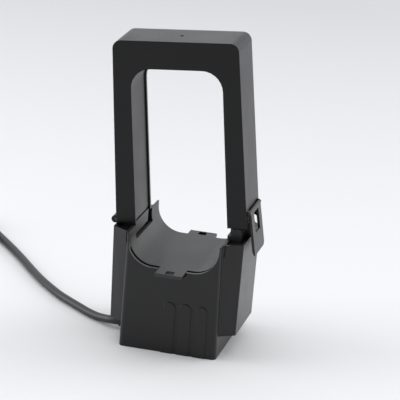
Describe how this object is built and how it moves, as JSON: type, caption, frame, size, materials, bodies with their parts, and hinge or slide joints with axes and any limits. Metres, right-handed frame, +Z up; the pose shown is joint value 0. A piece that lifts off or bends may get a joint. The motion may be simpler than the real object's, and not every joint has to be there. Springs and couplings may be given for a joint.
{
  "type": "split-core current transformer",
  "caption": "Split-core current transformer: a tall hinged U frame closes on a saddle base over a cable or bar, held by a snap latch, with a two-core secondary lead.",
  "frame": {"origin": "centre of the underside of the base, on the surface it stands on", "axes": "+X to the latch side, +Y to the rear cover, +Z up; the conductor runs along Y through the window"},
  "size_m": [0.2625, 0.1683, 0.1698],
  "materials": {
    "housing_plastic": "moulded, fine texture",
    "cover_plastic": "moulded, smoother",
    "saddle_plastic": "moulded, fine texture",
    "screw_steel": "zinc plated",
    "core_steel": "ground strip",
    "foam": "foam, plain",
    "pin_steel": "ground",
    "bobbin_plastic": "natural",
    "copper": "enamelled",
    "tape": "film",
    "board": "solder mask",
    "component": "lacquer",
    "diode": "moulded",
    "terminal": "moulded",
    "gland": "soft",
    "jacket": "satin",
    "tie": "nylon",
    "white_wire": "smooth",
    "ferrule": "tinned, crimped",
    "black_wire": "smooth"
  },
  "bodies": {
    "base": {"base_housing": "housing_plastic", "saddle": "saddle_plastic", "bottom_cover": "housing_plastic", "base_screws": "screw_steel", "hinge_side_collar": "saddle_plastic", "latch_side_collar": "saddle_plastic", "lower_core": "core_steel", "bobbin": "bobbin_plastic", "secondary_winding": "copper", "winding_tape": "tape", "burden_board": "board", "burden_resistor": "component", "surge_diode": "diode", "lead_terminal": "terminal", "strain_relief": "gland", "cable": "jacket", "cable_coil": "jacket", "coil_tie": "tie", "cable_tail": "jacket", "white_lead": "white_wire", "black_lead": "black_wire", "lead_ferrules": "ferrule"},
    "frame": {"frame_shell": "housing_plastic", "frame_cover": "cover_plastic", "frame_screws": "screw_steel", "upper_core": "core_steel", "core_pads": "foam", "latch_pin": "pin_steel", "hinge_pin": "pin_steel"},
    "latch": {"latch_arm": "housing_plastic"}
  },
  "joints": [
    {"name": "frame_hinge", "type": "hinge", "parent": "base", "child": "frame", "pos_m": [-0.0365, 0, 0.0657], "axis": [0, -1, 0], "range_deg": [-5.6, 100]},
    {"name": "latch_hinge", "type": "hinge", "parent": "frame", "child": "latch", "pos_m": [0.03565, 0, 0.0785], "axis": [0, -1, 0], "range_deg": [-4, 12], "stiffness_Nm_per_rad": 0.05}
  ]
}
